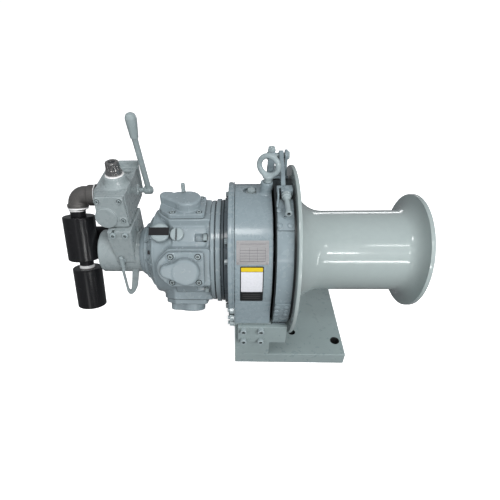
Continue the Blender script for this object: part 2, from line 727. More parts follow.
def skin(F):
    """Surface-net mesh of the zero level, vertices settled onto it."""
    D, h, lo = F.d, F.h, F.lo
    S = D < 0
    nx, ny, nz = D.shape
    cnt = np.zeros((nx - 1, ny - 1, nz - 1), np.uint8)
    for i in (0, 1):
        for j in (0, 1):
            for k in (0, 1):
                cnt += S[i:nx - 1 + i, j:ny - 1 + j, k:nz - 1 + k]
    act = (cnt > 0) & (cnt < 8)
    cells = np.argwhere(act)
    idx = np.full(act.shape, -1, np.int64)
    idx[act] = np.arange(len(cells))
    pos = np.zeros((len(cells), 3))
    w = np.zeros(len(cells))
    cor = [(i, j, k) for i in (0, 1) for j in (0, 1) for k in (0, 1)]
    for a in cor:
        for ax in range(3):
            if a[ax] == 1:
                continue
            b = list(a)
            b[ax] = 1
            ia, ib = cells + np.array(a), cells + np.array(b)
            da = D[ia[:, 0], ia[:, 1], ia[:, 2]].astype(float)
            db = D[ib[:, 0], ib[:, 1], ib[:, 2]].astype(float)
            c = (da < 0) != (db < 0)
            t = np.where(c, da / np.where(c, da - db, 1), 0)
            p = np.array(a, float)[None] + t[:, None] * (np.array(b, float) - np.array(a, float))[None]
            pos += np.where(c[:, None], p, 0)
            w += c
    P = cells + pos / w[:, None]
    faces = []
    for ax in range(3):
        o = [q for q in range(3) if q != ax]
        sl = [slice(1, -1)] * 3
        sl[ax] = slice(0, -1)
        sh = [slice(1, -1)] * 3
        sh[ax] = slice(1, None)
        A, B = S[tuple(sl)], S[tuple(sh)]
        for want, flip in ((A & ~B, False), (~A & B, True)):
            e = np.argwhere(want)
            if not len(e):
                continue
            base = e.copy()
            base[:, o[0]] += 1
            base[:, o[1]] += 1
            q = []
            for d0, d1 in ((-1, -1), (0, -1), (0, 0), (-1, 0)):
                c = base.copy()
                c[:, o[0]] += d0
                c[:, o[1]] += d1
                q.append(idx[c[:, 0], c[:, 1], c[:, 2]])
            q = np.stack(q, 1)
            if (ax == 1) != flip:
                q = q[:, ::-1]
            faces.append(q)
    faces = np.concatenate(faces)

    def samp(p):
        i = np.clip(np.floor(p).astype(int), 0, np.array(D.shape) - 2)
        f = p - i
        r = 0
        for a in cor:
            ww = np.ones(len(p))
            for q in range(3):
                ww = ww * (f[:, q] if a[q] else 1 - f[:, q])
            r = r + ww * D[i[:, 0] + a[0], i[:, 1] + a[1], i[:, 2] + a[2]]
        return r

    def grad(p, e=0.5):
        g = np.stack([samp(p + np.eye(3)[q] * e) - samp(p - np.eye(3)[q] * e) for q in range(3)], 1)
        return g / (2 * e * h)

    lim = 0.6
    P0 = P.copy()
    for _ in range(3):
        d, g = samp(P), grad(P)
        gg = np.sum(g * g, 1)
        step = -(d / np.maximum(gg, 0.2))[:, None] * g / h
        P = P + np.clip(step, -lim, lim)
        P = np.clip(P, P0 - 1.0, P0 + 1.0)
    g = grad(P, 0.7)
    g /= np.maximum(np.linalg.norm(g, axis=1), 1e-6)[:, None]
    return lo + h * P, faces, g


def cast(name, F, mat, reps=(), body="root", slot=None, extra=None, ratio=None):
    V, Q, G = skin(F)
    me = bpy.data.meshes.new(name)
    me.vertices.add(len(V))
    me.vertices.foreach_set("co", row(V).astype(np.float32).ravel())
    me.loops.add(len(Q) * 4)
    me.loops.foreach_set("vertex_index", Q.astype(np.int32).ravel())
    me.polygons.add(len(Q))
    me.polygons.foreach_set("loop_start", (np.arange(len(Q)) * 4).astype(np.int32))
    me.update(calc_edges=True)
    me.polygons.foreach_set("use_smooth", np.ones(len(Q), bool))
    me.validate()
    me.normals_split_custom_set_from_vertices(G.tolist())
    me.materials.append(mat)
    o = bpy.data.objects.new(name, me)
    bpy.context.scene.collection.objects.link(o)
    if ratio:
        md = o.modifiers.new("dec", "DECIMATE")
        md.ratio = ratio
        bake(o)
    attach(o, body)
    if reps:
        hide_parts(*reps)
    return o


def drill(o, cutters, mi=0):
    """Boolean away closed solids from a piece; the cut faces take material mi."""
    tmp = []
    for c in cutters:
        me = bpy.data.meshes.new("cutter")
        me.from_pydata(row(c[0]).tolist(), [], [list(f) for f in c[1]])
        bm = bmesh.new()
        bm.from_mesh(me)
        bmesh.ops.remove_doubles(bm, verts=bm.verts, dist=1e-7)
        bmesh.ops.recalc_face_normals(bm, faces=bm.faces)
        bm.to_mesh(me)
        bm.free()
        for m in o.data.materials:
            me.materials.append(m)
        me.polygons.foreach_set("material_index", np.full(len(me.polygons), mi, np.int32))
        co = bpy.data.objects.new("cutter", me)
        bpy.context.scene.collection.objects.link(co)
        md = o.modifiers.new("cut", "BOOLEAN")
        md.operation, md.solver, md.object = "DIFFERENCE", "EXACT", co
        tmp.append(co)
    bpy.context.view_layer.update()
    bake(o)
    for co in tmp:
        me = co.data
        bpy.data.objects.remove(co)
        bpy.data.meshes.remove(me)
    me = o.data
    me.polygons.foreach_set("use_smooth", np.ones(len(me.polygons), bool))
    me.set_sharp_from_angle(angle=radians(35))
    weight_normals(o)


HR = 182.8                                  # gear housing radius
BODY = "machine_paint"

# ------------------------------------------------------------------------ base
base = build("base_slab", [rbox(40, 357, -180, 180, -280, -240, 1.6)], [M_PLATE, M_HOLE], reps=["base_plate"], wn=False)
cut = []
for sx in (-1, 1):
    for sy in (-1, 1):
        cut.append(lathe([(-2, 0), (-2, 12), (38.6, 12), (40.4, 13.8), (42, 13.8), (42, 0)],
                         (MID + sx * 137.5, sy * 128, -280), (0, 0, 1), 40))
for sy in (-1, 1):
    cut.append(lathe([(-2, 0), (-2, 10), (39.4, 10), (40.4, 11.0), (42, 11.0), (42, 0)], (212, sy * 97, -280), (0, 0, 1), 36))
drill(base, cut, 1)

for tag, sy in (("front", 1), ("rear", -1)):
    f = (lambda q: q) if sy == 1 else mirror_y
    ped = rbox(40.2, 136.8, -180, -142, -241, -106.3, 1.4, axis="y")
    build("pedestal_block_" + tag, [f(ped)], [M_PLATE], reps=["pedestal_" + tag])
    bar = rbox(48, 178.4, -192, -179.8, -172, -109, 1.3, axis="y")
    build("clamp_strip_" + tag, [f(bar)], [M_PLATE], reps=["clamp_bar_" + tag])
    scr = []
    for x in (63.5, 110.0):
        for z in (-120.5, -161.5):
            scr += mat_i([f(q) for q in cap_screw((x, -192, z), (0, -1, 0), 17.5, 11.0, 8.4, wash=0.0)], 0)
    build("clamp_screws_" + tag, scr, [M_SCREW])

# --------------------------------------------------------------------- housing
th = np.radians(np.linspace(-7.6, 187.6, 196))
pts = [(HR * cos(t), HR * sin(t)) for t in th]
low = np.radians(np.linspace(215.4, 324.6, 90))
blk = [(-182.0, -17.1), (-182.0, -106.0), (-148.9, -106.0)]
cor = [(cos(radians(q)), sin(radians(q))) for q in (180, 202, 225, 248, 270)]
pts = pts + [(-182.0, -25.6), (-182.0, -60.0)] + [(-178.4 + 3.6 * c, -102.4 + 3.6 * s_) for c, s_ in cor] + [(HR * cos(t), HR * sin(t)) for t in low] + \
    [(178.4 - 3.6 * c, -102.4 + 3.6 * s_) for c, s_ in cor[::-1]] + [(182.0, -60.0), (182.0, -25.6)]
house = build("housing_shell", [prism(pts, "x", 39.6, 131.8, 1.8, 3)], [M_HOUSE], reps=["gear_housing"], wn=False)
drill(house, [spin(lathe([(0, 0), (0, 20.2), (5.6, 20.8), (7.4, 22.4), (30, 22.4), (30, 0)], (82, 0, HR - 7.2), (0, 0, 1), 48), -3.7),
              lathe([(95.0, 0), (95.0, 35.05), (130.8, 35.05), (132.6, 36.8), (132.6, 0)], (0, 0, 0), (1, 0, 0), 64)])
pl = [lathe(rprof([(0, 0), (0, 13.5), (2.2, 13.5, 0.8), (2.2, 0)], 3), (82, 0, HR - 7.0), (0, 0, 1), 40),
      hexa(19.0, (82, 0, HR - 5.0), (0, 0, 1), 8.0)]
build("oil_plug", [spin(q, -3.7) for q in pl], [M_SCREW], reps=["housing_plug"])
build("housing_rim", [lathe(rprof([(24.1, 0), (24.1, 187.8, 2.5), (33.6, 187.8, 0.6), (34.4, 186.6, 0.4), (36.0, 186.6, 0.4), (36.8, 187.8, 0.6),
                                   (39.5, 187.8, 1.4), (39.5, 0)], 4), n=192)],
      [M_HOUSE], reps=["housing_flange"])

# eyebolt on its boss
F = Field((94, -26, 174), (140, 26, 214), 1.0)
P = F.local()
F.d = f_cyl(P, "z", (119.0, 0), 15.3, 150, 210.8, r=1.4)
F.add(np.sqrt(P[1] ** 2 + P[2] ** 2 + 0 * P[0]) - (HR - 0.6), k=9.0)
F.cut(f_box(P, (131.6, -60, 150), (180, 60, 190)))
F.cut(np.sqrt(P[1] ** 2 + P[2] ** 2 + 0 * P[0]) - (HR - 3.2))
cast("eyebolt_base", F, M_HOUSE, reps=["eyebolt_boss"], slot=BODY)
F = Field((86, -28, 208), (157, 28, 285), 1.0)
P = F.local()
yaw = radians(25)
F.d = f_torus(P, (121.5, 0, 252.0), (sin(yaw), cos(yaw), 0), 24.0, 6.5)
F.add(f_rod(P, (121.5, 0, 220.0), (121.5, 0, 227.5), 12.0, r=2.4), k=7.0)
F.add(f_rod(P, (121.5, 0, 210.6), (121.5, 0, 222.0), 9.6, r=0.5), k=2.0)
cast("eyebolt", F, M_SCREW, reps=["lifting_eyebolt"], slot=BODY)

# --------------------------------------------------------------- plate, label
NM0, NM1, NA0, NA1 = 45.0, 121.6, 26.5, 44.5
npl = [patch(NM0, NM1, NA0, NA1, HR - 0.5, HR + 0.75, 0.3, corner=2.5) + (0,)]
for s in (49.0, 117.6):
    for a in (28.0, 43.0):
        c = ((s), -(HR + 0.7) * cos(radians(a)), (HR + 0.7) * sin(radians(a)))
        npl.append(dome(c, (0, -cos(radians(a)), sin(radians(a))), 2.1, 1.1, 16) + (0,))
# plain engraved panel: a border and ruled fields with nothing in them
def etch(s0, s1, a0, a1, r=HR + 0.75, t=0.12):
    return patch(s0, s1, a0, a1, r - 0.2, r + t, 0.04, n=4, corner=0.12)
for (s0, s1, a0, a1) in ((53.5, 113.5, 41.8, 42.05), (53.5, 113.5, 28.9, 29.15)):
    npl.append(etch(s0, s1, a0, a1) + (1,))
for a in (30.9, 33.0, 35.1, 37.2):
    npl.append(etch(53.5, 113.5, a, a + 0.22) + (1,))
for s in (53.5, 76.0, 94.0, 113.1):
    npl.append(etch(s, s + 0.5, 29.0, 39.2) + (1,))
build("name_panel", npl, [M_NAME, M_NAMELINE], reps=["name_plate"])
lb = [patch(54.0, 110.4, -6.4, 25.3, HR - 0.4, HR + 0.28, 0.1, corner=3.0) + (0,),
      patch(56.2, 108.2, 21.2, 24.4, HR, HR + 0.36, 0.05, n=10, corner=1.6) + (1,),
      patch(56.2, 108.2, 3.6, 20.9, HR, HR + 0.36, 0.05, n=30, corner=0.3) + (2,)]
for a in (0.6, -1.4, -3.4):
    lb.append(patch(60.0, 104.0, a, a + 0.3, HR, HR + 0.34, 0.03, n=4, corner=0.1) + (3,))
build("label_panel", lb, [M_BLK, M_YELLOW, M_WHITE, metal("label_rule", (0.10, 0.10, 0.10), rough=0.4, metallic=0.0, dirt=0)],
      reps=["label_plate"])

# -------------------------------------------------------------------- adapter
build("adapter_plate", [lathe(rprof([(14.0, 0), (14.0, 147.0, 1.2), (24.1, 147.0), (24.1, 0)], 3), n=160)], [M_DARKPAINT],
      reps=["adapter_flange"])
prof = rprof([(-21.6, 0), (-21.6, 137.4, 1.0), (-19.5, 139.2, 1.0), (-11.5, 139.2, 1.0), (-10.2, 135.0, 0.4), (-8.6, 135.0, 0.4),
              (-7.4, 143.9, 1.2), (3.6, 143.9, 1.2), (5.0, 138.8, 0.4), (6.2, 138.8, 0.4), (7.2, 141.5, 1.0), (11.6, 141.5, 1.0),
              (13.0, 137.0, 0.5), (14.5, 137.0), (14.5, 0)], 3)
ad_ = build("adapter_drum", [lathe(prof, n=192)], [M_CAST, M_DARKPAINT], reps=["adapter_ring"])
mi_ = np.array([1 if ad_.data.polygons[i].center[0] > (5.0 - MID) / 1000.0 else 0 for i in range(len(ad_.data.polygons))], np.int32)
ad_.data.polygons.foreach_set("material_index", mi_)
bl = []
for a in (27.0, 45.0, 110.0, 135.0, 153.0, 200.0, 225.0, 250.0, 290.0, 322.0):
    bl += [spin(w, 90.0 - a) for w in (
        lathe(rprof([(0, 0), (0, 8.4, 0.3), (1.5, 8.4, 0.4), (1.5, 0)], 2), (24.1, 0, 157.0), (-1, 0, 0), 28),
        hexa(13.0, (22.6, 0, 157.0), (-1, 0, 0), 7.0))]
build("adapter_screws", bl, [M_SCREW])
bl = []
for (y, z) in ((-178, -58), (-175, -89), (-172, -112)):
    for sgn in (1, -1):
        w = [lathe(rprof([(0, 0), (0, 11.5), (1.8, 11.5, 0.5), (1.8, 0)], 2), (39.8, y * sgn, z), (-1, 0, 0), 28),
             hexa(17.0, (38.0, y * sgn, z), (-1, 0, 0), 11.0), rod(4.9, (27.0, y * sgn, z), (22.0, y * sgn, z), 1.0, 20)]
        bl += w
build("foot_bolts", bl, [M_SCREW])

# ----------------------------------------------------------------------- motor
HEADS = (18.0, 90.0, 162.0, 234.0, 306.0)
F = Field((-176, -146, -146), (-18, 146, 146), 1.9)
P = F.local()
F.d = f_cyl(P, "x", (0, 0), 117.0, -170, -18, r=5.0)
F.add(f_cyl(P, "x", (0, 0), 128.5, -30, -10, r=2.0), k=4.0)
pad = rnd([(-20, -50), (-20, 50), (-126, 50), (-150, 26), (-160, 10), (-160, -10), (-150, -26), (-126, -50)], 7.0, 4)
for a in HEADS:
    Q = F.local(a)
    F.add(f_poly(Q, "z", pad, 70.0, 134.5, r=2.2), k=9.0)
for a in (54.0, 126.0, 198.0, 270.0, 342.0):
    Q = F.local(a)
    blk = [(-24, 85), (-24, 119), (-14, 124.5), (22, 124.5), (37, 117), (40, 85)] if a == 54.0 else [(-32, 85), (-28, 118), (-20, 123), (20, 123), (28, 118), (32, 85)]
    F.add(f_poly(Q, "x", blk, -118, -25, r=2.0), k=5.0)
    F.cut(f_rod(Q, (-60, -4, 124), (-28.5, -4, 124), 10.5), k=2.0)
F.cut(f_box(P, (-10.5, -200, -200), (10, 200, 200)))
F.cut(f_box(P, (-21.4, -200, -200), (10, 200, 200)))
cast("motor_block", F, M_CAST, reps=["motor_case"], slot=BODY)


def head_field(end):
    F = Field((-166, -54, 128), (-28, 54, 176), 1.38)
    P = F.local()
    fl = rnd([(-35.5, -46), (-35.5, 46), (-125, 46), (-148, 23), (-155, 8), (-155, -8), (-148, -23), (-125, -46)],
             [9, 9, 10, 12, 8, 8, 12, 10], 5)
    F.d = f_poly(P, "z", fl, 134.6, 147.0, r=1.6)
    F.add(f_cyl(P, "z", (-81.0, 0.0), 35.0, 136.0, 170.0, r=5.5), k=3.0)
    ex, ey, er = end
    dx, dy = -81.0 - ex, -ey
    t = np.clip(((P[0] - ex) * dx + (P[1] - ey) * dy) / (dx * dx + dy * dy), 0, 1)
    w = np.sqrt((P[0] - (ex + t * dx)) ** 2 + (P[1] - (ey + t * dy)) ** 2) - (er + t * (34.5 - er))
    q0, q1 = w + 5.5, np.abs(P[2] - 153.0) - 17.0 + 5.5
    F.add(np.sqrt(np.maximum(q0, 0) ** 2 + np.maximum(q1, 0) ** 2) + np.minimum(np.maximum(q0, q1), 0) - 5.5, k=2.0)
    for x in (-118.0, -50.0):
        for y in (-34.5, 34.5):
            F.add(f_cyl(P, "z", (x, y), 10.6, 136.0, 148.4, r=1.0), k=3.0)
            F.cut(f_cyl(P, "z", (x, y), 7.9, 141.0, 200.0), k=1.0)
    F.cut(f_box(P, (-400, -400, 100), (400, 400, 134.8)))
    return F


hstd, htop = None, None
for i, a in enumerate(HEADS):
    F = head_field((-139.5, 19.0, 16.0) if a == 90.0 else (-126.0, 2.0, 17.5)) if (a == 90.0 or hstd is None) else None
    if F is not None:
        s = skin(F)
        if a == 90.0:
            htop = s
        else:
            hstd = s
    V, Qd, G = htop if a == 90.0 else hstd
    V2 = spin((V, None), 90.0 - a)[0]
    G2 = spin((G, None), 90.0 - a)[0]
    me = bpy.data.meshes.new("head")
    me.vertices.add(len(V2))
    me.vertices.foreach_set("co", row(V2).astype(np.float32).ravel())
    me.loops.add(len(Qd) * 4)
    me.loops.foreach_set("vertex_index", Qd.astype(np.int32).ravel())
    me.polygons.add(len(Qd))
    me.polygons.foreach_set("loop_start", (np.arange(len(Qd)) * 4).astype(np.int32))
    me.update(calc_edges=True)
    me.polygons.foreach_set("use_smooth", np.ones(len(Qd), bool))
    me.validate()
    me.normals_split_custom_set_from_vertices(G2.tolist())
    me.materials.append(M_CAST)
    o = bpy.data.objects.new("head_casting_%d" % (i + 1), me)
    bpy.context.scene.collection.objects.link(o)
    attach(o, "root")
    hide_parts("cylinder_head_%d" % (i + 1))
    sc = []
    for x in (-118.0, -50.0):
        for y in (-34.5, 34.5):
            sc += [spin(w, 90.0 - a) for w in cap_screw((x, y, 141.2), (0, 0, 1), 12.6, 7.6, 6.0)]
    build("head_screws_%d" % (i + 1), sc, [M_SCREW])

# bolts that hold the motor to the adapter, one between each pair of heads
bl = []
for a in (54.0, 126.0, 198.0, 270.0, 342.0):
    bl += [spin(w, 90.0 - a) for w in (
        lathe(rprof([(0, 0), (0, 10.0), (1.6, 10.0, 0.4), (1.6, 0)], 2), (-28.3, -4, 123.5), (-1, 0, 0), 28),
        hexa(16.0, (-29.8, -4, 123.5), (-1, 0, 0), 9.0))]
build("motor_bolts", bl, [M_SCREW])

prof = rprof([(-219, 0), (-219, 64, 2), (-212, 69, 3), (-206, 71, 3), (-203.5, 78, 2), (-196, 79.5, 2), (-190, 86, 3), (-184, 99, 5), (-176, 109, 4),
              (-174, 115, 2), (-168, 116.5, 2), (-166, 110), (-166, 0)], 4)
build("motor_end_bell", [lathe(prof, n=160)], [M_CAST], reps=["motor_end_cover"])
rb = []
for k in range(10):
    a = 36.0 * k + 18.0
    q = prism(rnd([(-212, 60), (-206, 72), (-190, 92), (-178, 112), (-170, 112), (-170, 60)], 2.0, 2), "y", -3.2, 3.2, 1.2, 2)
    rb.append(spin(q, 90.0 - a))
build("motor_ribs", rb, [M_CAST])

# oil filler cap with a plain black band, level plug with its slot
OA = 90.0 - 57.0
oc = [lathe(rprof([(100, 0), (100, 19), (124, 19, 1), (125, 24.6, 1.2), (133.6, 24.6, 2.4), (136.6, 20.0, 1.5), (136.6, 0)], 4), (-148.5, 1.5, 0), (0, 0, 1), 64) + (0,)]
F_band = rbox(-176.0, -124.2, -8.6, 12.4, 136.2, 137.6, 0.4)
oc.append(F_band + (1,))
build("oil_cap_body", [spin(q, OA) for q in oc], [M_SCREW, M_BLK], reps=["oil_cap"])
F = Field((-128, -32, 112), (-84, 32, 142), 0.9)
P = F.local()
F.d = f_rod(P, (-106, 0, 100), (-106, 0, 131.5), 17.6, r=2.6)
F.cut(f_box(P, (-109.6, -40, 122.0), (-105.2, 40, 160)), k=1.4)
F.cut(f_box(P, (-400, -400, 0), (400, 400, 113.0)))
V, Q, G = skin(F)
F2 = (spin((V, None), 90 - 56.0)[0], Q.tolist())
build("level_plug_body", [F2], [M_SCREW], reps=["level_plug"], wn=False, sharp=60)
tg = [spin(rbox(-186, -173, -33.0, -22.0, 99.0, 100.2, 0.3), 90 - 50.0)]
build("tag_plate", tg, [M_BLK])
st = [tube([(-93.5, 28, 160), (-93.5, 28, 194.2)], 4.6, 20)]
zz = 171.0
while zz < 193:
    st.append(lathe([(0, 4.6), (0.75, 5.5), (1.5, 4.6)], (-93.5, 28, zz), (0, 0, 1), 24))
    zz += 1.5
build("motor_stud_thread", st, [M_SCREW], reps=["motor_stud"])

# ----------------------------------------------------------------- valve group
F = Field((-340, -66, -64), (-206, 68, 112), 1.7)
P = F.local()
F.d = f_cyl(P, "x", (0, 0), 60.0, -337, -215, r=6.0)
sad = [(-291, 86), (-228.5, 86), (-232, 6), (-281.5, 6)]
F.add(f_poly(P, "y", sad, -62.5, 20.0, r=2.5), k=3.0)
F.add(f_poly(P, "y", [(-288, 107.5), (-226, 107.5), (-226, 84), (-291, 84)], -62.0, 40.0, r=2.0), k=3.0)
F.add(f_box(P, (-292, 0, 0), (-225, 58, 107.5), r=3.0), k=5.0)
F.cut(f_box(P, (-276, -80, 92), (-270, -50, 130), r=2.0), k=1.0)
F.cut(f_cyl(P, "x", (0, 0), 58.0, -218.6, -200))
F.cut(f_box(P, (-218.6, -200, -200), (-100, 200, 200)))
F.cut(f_box(P, (-400, -400, 107.4), (400, 400, 400)))
cast("neck_casting", F, M_VALVE, reps=["valve_neck"], slot=BODY)
sc = []
for x, z in ((-273.5, 97.5), (-241.5, 97.0)):
    sc += cap_screw((x, -62.0, z), (0, -1, 0.0), 15.6, 7.6, 7.4)
build("saddle_screws", sc, [M_SCREW])

F = Field((-332, -36, 102), (-224, 140, 216), 1.5)
P = F.local()
plan = rnd([(-232, -32), (-232, 126), (-319, 126), (-319, 32), (-306, -32)], [3.5, 3, 3, 8, 3.5], 4)
F.d = f_poly(P, "z", plan, 107.6, 195.0, r=2.4)
F.add(f_box(P, (-283, 122, 120), (-228, 133, 212), r=2.0), k=3.0)
F.cut(f_poly(P, "y", [(-262, 208), (-250, 208), (-256, 199)], 100, 123.6), k=0.8)
F.add(f_rod(P, (-326.5, 30, 152), (-300, 30, 152), 34.0, r=3.0), k=5.0)
F.add(f_rod(P, (-227.2, 92, 142), (-240, 92, 142), 15.5, r=1.5), k=4.0)
F.cut(f_box(P, (-263, 88, 186), (-244, 104, 230), r=2.0), k=1.5)
F.add(f_rod(P, (-268, 30, 190), (-268, 30, 200), 37.0, r=2.0), k=6.0)
cast("valve_casting", F, M_VALVE, reps=["valve_body"], slot=BODY)
build("valve_slot_dark", [rbox(-262.4, -244.6, 88.6, 103.4, 186.6, 187.2, 0.1)], [M_HOLE])

F = Field((-322, -52, 100), (-226, -28, 200), 1.0)
P = F.local()
cp = rnd([(-306, 195.0), (-234.6, 195.0), (-232.6, 107.8), (-297, 107.8), (-314, 124), (-311, 152)], [5, 5, 5, 8, 12, 20], 5)
F.d = f_poly(P, "y", cp, -42.0, -32.2, r=1.6)
F.add(f_cyl(P, "y", (-287.2, 136.5), 28.2, -46.5, -34.0, r=1.6), k=2.0)
for x, z in ((-300.6, 183.5), (-245.0, 182.9), (-244.7, 128.0)):
    F.add(f_cyl(P, "y", (x, z), 9.0, -43.2, -34.0, r=0.8), k=2.5)
    F.cut(f_cyl(P, "y", (x, z), 6.4, -60.0, -40.6), k=0.8)
cast("cover_casting", F, M_VALVE, reps=["valve_cover"], slot=BODY)
sc = []
for x, z in ((-300.6, 183.5), (-245.0, 182.9), (-244.7, 128.0)):
    sc += cap_screw((x, -38.6, z), (0, -1, 0), 10.0, 6.2, 5.0)
build("cover_screws", sc, [M_SCREW])

BN = (-265.5, 28.0)
build("bonnet_turned", [lathe(rprof([(190, 0), (190, 36.5), (196.5, 36.5, 2), (200, 33.5, 3), (206, 31.0, 4), (212, 29.6, 2), (218, 28.6, 2), (220.5, 26.5, 1.5), (220.5, 0)], 4),
                              (BN[0], BN[1], 0), (0, 0, 1), 72)], [M_VALVE], reps=["valve_bonnet"])
fit = [lathe(rprof([(219, 0), (219, 24.0), (222.5, 24.0, 1.6), (223.5, 20), (223.5, 0)], 4), (BN[0], BN[1], 0), (0, 0, 1), 64) + (1,)]
fit.append(lathe(rprof([(223, 0), (223, 20.5), (226, 21.8, 0.8), (228.4, 21.8, 0.6), (229.2, 20.2, 0.3), (231.2, 20.2, 0.3), (232, 19.2, 0.3), (236, 19.2, 0.4),
                        (236.4, 17.8)], 3), (BN[0], BN[1], 0), (0, 0, 1), 64) + (0,))
# fluted barrel
k, V, Fq = 120, [], []
zs = [(236.0, 0.0), (237.5, 1.0), (251.0, 1.0), (252.4, 0.0)]
for z, am in zs:
    for i in range(k):
        t = 2 * pi * i / k
        w = 0.5 + 0.5 * cos(15 * t)
        rr = (18.6 - (z - 236) * 0.085) - 1.7 * am * (1 - w) ** 0.7
        V.append((BN[0] + rr * cos(t), BN[1] + rr * sin(t), z))
for j in range(len(zs) - 1):
    for i in range(k):
        Fq.append([j * k + i, j * k + (i + 1) % k, (j + 1) * k + (i + 1) % k, (j + 1) * k + i])
fit.append((np.array(V), Fq, 0))
fit.append(lathe(rprof([(252.4, 17.2), (254.6, 16.4, 1.2), (256.0, 13.5, 0.8), (255.0, 9.0, 0.6), (253.6, 8.6)], 3), (BN[0], BN[1], 0), (0, 0, 1), 60) + (0,))
fit.append(lathe([(253.6, 8.6), (253.6, 0)], (BN[0], BN[1], 0), (0, 0, 1), 60) + (2,))
build("air_inlet", fit, [M_PLATED, M_TAPE, M_STEEL], reps=["inlet_fitting"])

# lever
LY, LZ = 92.0, 142.0
build("pivot_pin", [rod(6.94, (-228.4, LY, LZ), (-189.2, LY, LZ), 1.2),
                    lathe(rprof([(0, 7.4), (0, 10.2, 0.3), (1.8, 10.2, 0.5), (1.8, 7.4)], 2), (-193.6, LY, LZ), (1, 0, 0), 36)], [M_SCREW],
      reps=["lever_pivot"])
F = Field((-230, 44, 126), (-186, 108, 306), 1.15)
P = F.local()
F.d = f_rod(P, (-214, LY, LZ), (-194, LY, LZ), 11.2, r=1.6)
tip = (-207.0, 65.0, 298.0)
F.add(f_rod(P, (-201.6, LY - 1.5, LZ + 8), tip, 7.7, r=0.3), k=3.5)
F.cut(f_rod(P, (-260, LY, LZ), (-150, LY, LZ), 7.12))
cast("lever_arm", F, M_LEVER, reps=["lever_shank"], body="lever", slot=BODY)
ax = np.array([-0.5, 1.0, 46.0])
gl = np.linalg.norm(ax) + 14.3
pr = rprof([(-1.0, 7.9), (0.0, 9.6, 0.8), (2.0, 10.3, 1.0), (gl - 26, 13.6, 30), (gl - 12, 14.4, 8), (gl - 3.4, 11.0, 6), (gl, 4.0, 3), (gl, 0)], 6)
build("lever_handgrip", [lathe(pr, tip, ax, 48)], [M_LEVER], reps=["lever_grip"], body="lever")

# exhaust: bend, tape, nipples and silencers
LEAN = radians(22.0)
DN = np.array([0, -sin(LEAN), -cos(LEAN)])


def al(p, t):
    return tuple(np.array(p, float) + DN * t)


def bend(c, s_in, r_c, n=14):
    """Centre line: in along +X, arc down the lean."""
    c = np.array(c, float)
    pts = [(s_in, c[1], c[2])]
    for i in range(n + 1):
        t = 0.5 * pi * i / n
        pts.append(tuple(c + np.array([1, 0, 0]) * (r_c - r_c * sin(t)) + DN * (r_c - r_c * cos(t))))
    return pts


E0 = (-383.0, 33.0, 160.0)
E1 = (-386.0, 29.5, 152.5)
F = Field((-416, -12, 112), (-318, 68, 194), 1.25)
P = F.local()
pl_ = bend(E0, -326.0, 24.0, 10)
F.d = np.full(F.d.shape, 1e3, np.float32)
for i in range(1, len(pl_) - 1):
    a_, b_ = np.array(pl_[i]), np.array(pl_[i + 1])
    dd = b_ - a_
    tt = np.clip(((P[0] - a_[0]) * dd[0] + (P[1] - a_[1]) * dd[1] + (P[2] - a_[2]) * dd[2]) / (dd @ dd), 0, 1)
    F.add(np.sqrt((P[0] - a_[0] - tt * dd[0]) ** 2 + (P[1] - a_[1] - tt * dd[1]) ** 2 + (P[2] - a_[2] - tt * dd[2]) ** 2) - 24.6)
F.add(f_rod(P, (-359.0, E0[1], E0[2]), (-327.2, E0[1], E0[2]), 24.6))
F.add(f_rod(P, al(E0, 20.0), al(E0, 31.5), 24.8, r=0.5))
F.add(f_rod(P, (-349.0, E0[1], E0[2]), (-327.4, E0[1], E0[2]), 27.6, r=2.0), k=3.0)
F.add(f_rod(P, al(E0, 21.5), al(E0, 31.5), 28.0, r=2.0), k=3.0)
cast("bend_upper", F, M_IRON, reps=["exhaust_elbow_upper"], slot="dark_iron")

E2 = (-412.0, 52.0, 24.0)
F = Field((-442, 18, -42), (-318, 84, 56), 1.5)
P = F.local()
pl_ = bend(E2, -325.0, 22.0, 10)
F.d = np.full(F.d.shape, 1e3, np.float32)
for i in range(1, len(pl_) - 1):
    a_, b_ = np.array(pl_[i]), np.array(pl_[i + 1])
    dd = b_ - a_
    tt = np.clip(((P[0] - a_[0]) * dd[0] + (P[1] - a_[1]) * dd[1] + (P[2] - a_[2]) * dd[2]) / (dd @ dd), 0, 1)
    F.add(np.sqrt((P[0] - a_[0] - tt * dd[0]) ** 2 + (P[1] - a_[1] - tt * dd[1]) ** 2 + (P[2] - a_[2] - tt * dd[2]) ** 2) - 20.8)
F.add(f_rod(P, (-390.0, E2[1], E2[2]), (-327.0, E2[1], E2[2]), 20.8))
F.add(f_rod(P, al(E2, 20.0), al(E2, 59.5), 20.8, r=0.5))
F.add(f_rod(P, al(E2, 50.0), al(E2, 59.5), 23.6, r=1.5), k=2.0)
rr = np.sqrt(P[1] ** 2 + P[2] ** 2 + 0 * P[0])
F.cut(np.maximum(rr - 60.2, -337.0 - P[0]))
cast("bend_lower", F, M_DARK, reps=["exhaust_elbow_lower"], slot="black_steel")

nip = [rod(20.6, al(E1, 24.0), al(E1, 47.0), 0.3, 56) + (0,), rod(20.6, al(E2, 58.0), al(E2, 105.0), 0.3, 56) + (0,)]
for (e, t0, t1) in ((E1, 24.6, 33.0), (E2, 95.5, 104.2)):
    t = t0
    while t < t1:
        nip.append(lathe([(0, 20.7), (0.55, 21.9), (1.1, 20.7)], al(e, t), DN, 56) + (1,))
        t += 1.1
build("pipe_nipples", nip, [M_DARK, M_TAPE], reps=["exhaust_nipples"])
nip_t = [lathe(rprof([(0, 20.0), (0, 26.8, 0.6), (4.2, 26.4, 0.8), (4.6, 20.0)], 3), al(E0, 31.6), DN, 56)]
build("elbow_tape", nip_t, [M_TAPE])
